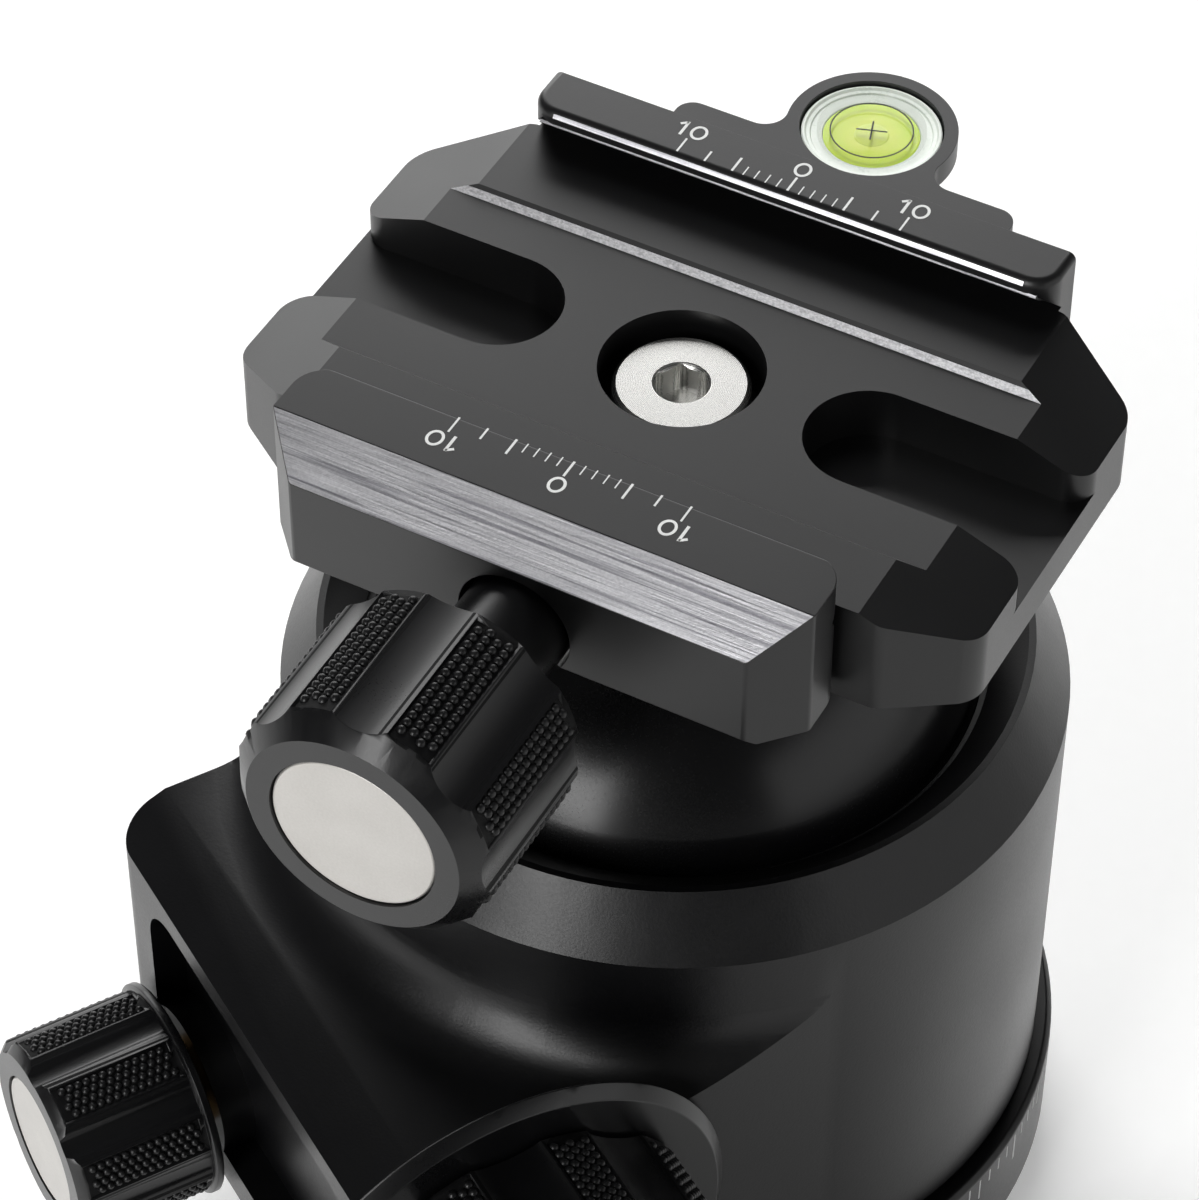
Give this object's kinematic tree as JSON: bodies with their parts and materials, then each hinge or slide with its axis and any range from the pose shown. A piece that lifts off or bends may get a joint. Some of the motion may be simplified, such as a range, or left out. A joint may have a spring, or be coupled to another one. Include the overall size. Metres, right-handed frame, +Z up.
{
  "type": "tripod ball head",
  "caption": "Low-profile tripod ball head with a panning base, lock knobs, a drop notch and a screw-knob dovetail clamp with a bubble level.",
  "frame": {"origin": "centre of the base face, on the pan axis", "axes": "+Z up along the pan axis and through the ball; +Y from the clamp knob towards the bubble level and the drop notch; +X along the clamp's jaws"},
  "size_m": [0.0778, 0.1116, 0.0976],
  "materials": {
    "black_anodised": "satin black anodised aluminium",
    "black_deep": "black anodised aluminium, knurled grips",
    "jaw_anodised": "satin black anodised aluminium with a bare machined chamfer",
    "raw_aluminium": "turned aluminium",
    "stainless": "brushed stainless steel",
    "silver_cap": "satin silver disc",
    "bronze": "sintered bronze",
    "bearing_plastic": "low-friction bearing plastic",
    "liner_black": "black low-friction bearing plastic",
    "level_cup": "white plastic",
    "level_fluid": null,
    "level_lens": "clear",
    "spring_steel": "spring wire"
  },
  "bodies": {
    "base": {"base_plate": "black_anodised", "thread_insert": "stainless", "pan_drum": "raw_aluminium", "drum_screws_set": "stainless", "pan_bearing_washer": "bearing_plastic"},
    "head": {"housing": "black_anodised", "drum_carrier": "raw_aluminium", "retaining_ring": "raw_aluminium", "retaining_ring_screws": "stainless", "upper_ball_liner": "liner_black", "cup_spring": "spring_steel", "wedge_channel_plug": "black_deep", "main_shaft_bush": "bronze", "pan_shaft_bush": "bronze"},
    "swing": {"lower_ball_cup": "bearing_plastic"},
    "tilt": {"clamp_screw": "stainless"},
    "ball_and_clamp": {"ball": "black_anodised", "anti_twist_pins": "stainless", "clamp_body": "black_anodised", "level_bracket": "black_anodised", "bracket_screws": "stainless", "level_cup": "level_cup", "level_fluid": "level_fluid", "level_lens": "level_lens", "guide_pins": "stainless", "jaw_springs": "spring_steel"},
    "jaw": {"movable_jaw": "jaw_anodised"},
    "clamp_knob": {"clamp_knob": "black_deep", "clamp_knob_cap": "silver_cap", "clamp_shaft": "stainless", "clamp_thrust_washer": "stainless"},
    "wedge": {"lock_wedge": "stainless"},
    "shoe": {"ball_shoe": "bronze"},
    "main_knob": {"main_knob": "black_deep", "main_knob_cap": "silver_cap", "main_shaft": "stainless"},
    "friction_ring": {"friction_ring": "black_deep"},
    "pan_shoe": {"pan_shoe": "bronze"},
    "pan_knob": {"pan_knob": "black_deep", "pan_knob_cap": "silver_cap", "pan_shaft": "stainless"}
  },
  "joints": [
    {"name": "pan", "type": "hinge", "parent": "base", "child": "head", "pos_m": [0, 0, 0], "axis": [0, 0, 1], "continuous": true},
    {"name": "ball_swing_direction", "type": "hinge", "parent": "head", "child": "swing", "pos_m": [0, 0, 0.0515], "axis": [0, 0, 1], "range_deg": [-180, 0]},
    {"name": "ball_tilt", "type": "hinge", "parent": "swing", "child": "tilt", "pos_m": [0, 0, 0.0515], "axis": [-1, 0, 0], "range_deg": [-20, 90]},
    {"name": "ball_spin", "type": "hinge", "parent": "tilt", "child": "ball_and_clamp", "pos_m": [0, 0, 0.0515], "axis": [0, 0, 1], "range_deg": [-360, 0]},
    {"name": "jaw_slide", "type": "slide", "parent": "ball_and_clamp", "child": "jaw", "axis": [0, -1, 0], "range_m": [-0.0005, 0.005]},
    {"name": "clamp_knob_turn", "type": "hinge", "parent": "jaw", "child": "clamp_knob", "pos_m": [0, -0.04, 0.087], "axis": [0, -1, 0], "range_deg": [-180, 1800]},
    {"name": "wedge_slide", "type": "slide", "parent": "head", "child": "wedge", "axis": [0.8434, -0.5373, 0], "range_m": [0, 0.0015]},
    {"name": "main_knob_turn", "type": "hinge", "parent": "wedge", "child": "main_knob", "pos_m": [-0.0188, -0.02952, 0.036], "axis": [0.8434, -0.5373, 0], "range_deg": [0, 540]},
    {"name": "shoe_slide", "type": "slide", "parent": "head", "child": "shoe", "axis": [-0.5373, -0.8434, 0], "range_m": [0, 0.00032]},
    {"name": "friction_ring_turn", "type": "hinge", "parent": "head", "child": "friction_ring", "pos_m": [-0.0188, -0.02952, 0.036], "axis": [0.8434, -0.5373, 0], "range_deg": [0, 270]},
    {"name": "pan_shoe_slide", "type": "slide", "parent": "head", "child": "pan_shoe", "axis": [-0.5373, -0.8434, 0], "range_m": [0, 0.0008]},
    {"name": "pan_knob_turn", "type": "hinge", "parent": "pan_shoe", "child": "pan_knob", "pos_m": [-0.00447, 0.00285, 0.0227], "axis": [-0.5373, -0.8434, 0], "range_deg": [0, 360]}
  ],
  "couplings": [
    {"joint": "clamp_knob_turn", "follows": "jaw_slide", "rad_per_m": 6283.2},
    {"joint": "main_knob_turn", "follows": "wedge_slide", "rad_per_m": 6283.2},
    {"joint": "shoe_slide", "follows": "wedge_slide", "ratio": 0.21256},
    {"joint": "pan_knob_turn", "follows": "pan_shoe_slide", "rad_per_m": 7854}
  ]
}
